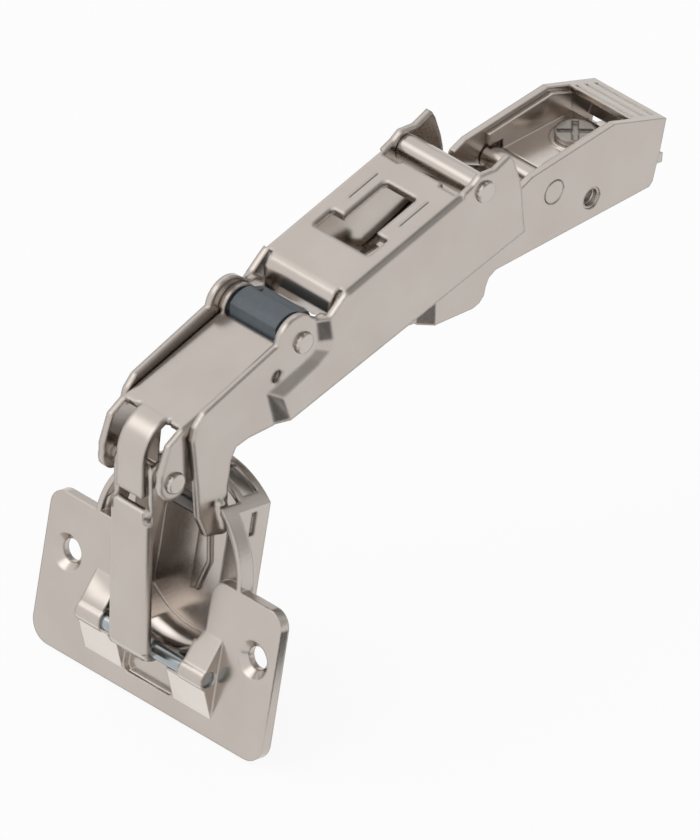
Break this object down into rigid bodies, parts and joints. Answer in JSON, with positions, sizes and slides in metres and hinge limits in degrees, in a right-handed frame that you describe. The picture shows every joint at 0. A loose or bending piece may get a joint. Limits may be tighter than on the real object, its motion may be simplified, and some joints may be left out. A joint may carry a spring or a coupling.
{
  "type": "concealed cup hinge",
  "caption": "Clip-on concealed cup hinge for cabinet doors with a wide opening lever chain, shown fully open.",
  "frame": {"origin": "on the housing's lower edges under the cam screw, in the middle plane", "axes": "+X rearwards along the arm, +Y along the pivot pins, +Z away from the cabinet side"},
  "size_m": [0.1219, 0.0558, 0.0823],
  "materials": {
    "nickel_steel": "satin nickel plated",
    "bright_steel": "bright nickel plated",
    "plain_steel": "polished",
    "grey_plastic": "moulded"
  },
  "bodies": {
    "housing": {"arm_housing": "nickel_steel", "floor_plate": "bright_steel", "housing_pin": "nickel_steel", "nose_pin": "nickel_steel", "side_bushes": "bright_steel", "catch_pin": "plain_steel", "catch_spring": "plain_steel"},
    "cam": {"cam_screw": "bright_steel"},
    "catch": {"clip_catch": "nickel_steel"},
    "link": {"connecting_link": "nickel_steel"},
    "main": {"main_lever": "nickel_steel", "top_pin": "bright_steel", "scissor_pin": "bright_steel", "cup_pin": "plain_steel"},
    "middle": {"middle_lever": "nickel_steel", "plastic_spacer": "grey_plastic", "scissor_washers": "bright_steel", "front_pin": "bright_steel"},
    "front": {"front_link": "nickel_steel"},
    "cup": {"cup_flange": "nickel_steel", "flange_axle": "plain_steel"}
  },
  "joints": [
    {"name": "middle_turn", "type": "hinge", "parent": "housing", "child": "middle", "pos_m": [-0.0563, 0, 0.001], "axis": [0, 1, 0], "range_deg": [0, 123.8]},
    {"name": "main_turn", "type": "hinge", "parent": "middle", "child": "main", "pos_m": [-0.0747, 0, 0.0068], "axis": [0, 1, 0], "range_deg": [-120.5, 0]},
    {"name": "front_turn", "type": "hinge", "parent": "middle", "child": "front", "pos_m": [-0.1038, 0, -0.0092], "axis": [0, 1, 0], "range_deg": [-83.8, 0]},
    {"name": "cup_turn", "type": "hinge", "parent": "front", "child": "cup", "pos_m": [-0.1024, 0, -0.0467], "axis": [0, 1, 0], "range_deg": [0, 130]},
    {"name": "link_turn", "type": "hinge", "parent": "housing", "child": "link", "pos_m": [-0.0138, 0, 0.0096], "axis": [0, 1, 0], "range_deg": [0, 111.3]},
    {"name": "cam_turn", "type": "hinge", "parent": "housing", "child": "cam", "pos_m": [0, 0, 0.0104], "axis": [0, 0, 1], "range_deg": [-150, 150]},
    {"name": "catch_press", "type": "hinge", "parent": "housing", "child": "catch", "pos_m": [0.0064, 0, 0.005], "axis": [0, 1, 0], "range_deg": [0, 10], "stiffness_Nm_per_rad": 0.05, "springref_deg": -17.19}
  ],
  "couplings": [
    {"joint": "main_turn", "follows": "middle_turn", "ratio": -0.9725},
    {"joint": "front_turn", "follows": "middle_turn", "ratio": -0.6753},
    {"joint": "cup_turn", "follows": "middle_turn", "ratio": 1.0485},
    {"joint": "link_turn", "follows": "middle_turn", "ratio": 0.8982}
  ]
}
